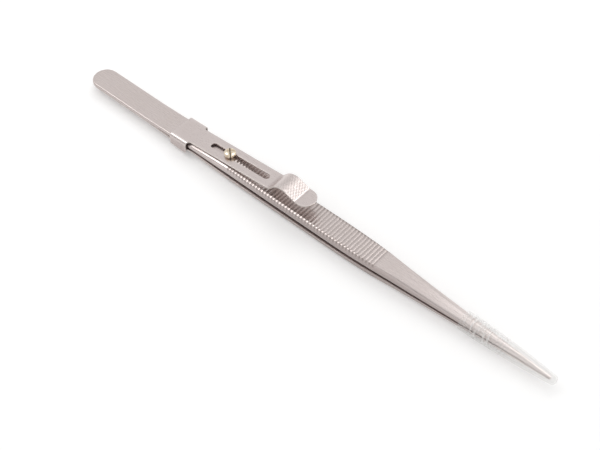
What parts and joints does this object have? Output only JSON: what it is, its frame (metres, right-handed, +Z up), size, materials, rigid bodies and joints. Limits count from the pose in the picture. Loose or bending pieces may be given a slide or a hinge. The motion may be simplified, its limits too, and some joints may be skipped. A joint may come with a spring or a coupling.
{
  "type": "slide-lock tweezers",
  "caption": "Slide-lock precision tweezers with serrated finger grips, a thumb-operated lock slide guided by a screw, and a clear soft cap over the fine tips.",
  "frame": {"origin": "centre of the bounding box's base, on the bench under the middle of the closed tweezers", "axes": "+X from the welded tail to the tips, +Y across the arms, +Z up from the bench towards the lock slide"},
  "size_m": [0.1666, 0.0094, 0.0114],
  "materials": {
    "arm_steel": "fine satin brushed stainless steel",
    "lock_steel": "satin stainless sheet with a knurled thumb rest",
    "screw_nickel": "polished nickel plate",
    "clear_vinyl": "clear soft vinyl, slightly wrinkled"
  },
  "bodies": {
    "lower_arm": {"lower_arm": "arm_steel", "upper_arm_heel": "arm_steel", "guide_screw": "screw_nickel"},
    "upper_arm": {"upper_arm": "arm_steel"},
    "lock_band": {"lock_band": "lock_steel"},
    "lock_plate": {"lock_plate": "lock_steel"},
    "tip_cap": {"tip_cap": "clear_vinyl"}
  },
  "joints": [
    {"name": "tip_cap_slide", "type": "slide", "parent": "lower_arm", "child": "tip_cap", "axis": [1, 0, 0], "range_m": [0, 0.06]},
    {"name": "upper_arm_flex", "type": "hinge", "parent": "lower_arm", "child": "upper_arm", "pos_m": [-0.0263, 0, 0.00509], "axis": [0, -1, 0], "range_deg": [0, 2.07]},
    {"name": "lock_slide", "type": "slide", "parent": "lower_arm", "child": "lock_band", "axis": [1, 0, 0], "range_m": [-0.013, 0.006]},
    {"name": "lock_plate_flex", "type": "hinge", "parent": "lock_band", "child": "lock_plate", "pos_m": [-0.0398, 0, 0.00515], "axis": [0, -1, 0], "range_deg": [-2.84, 1.31]}
  ],
  "couplings": [
    {"joint": "upper_arm_flex", "follows": "tip_cap_slide", "rad_per_m": 0.6},
    {"joint": "lock_plate_flex", "follows": "lock_slide", "rad_per_m": 3.8}
  ]
}
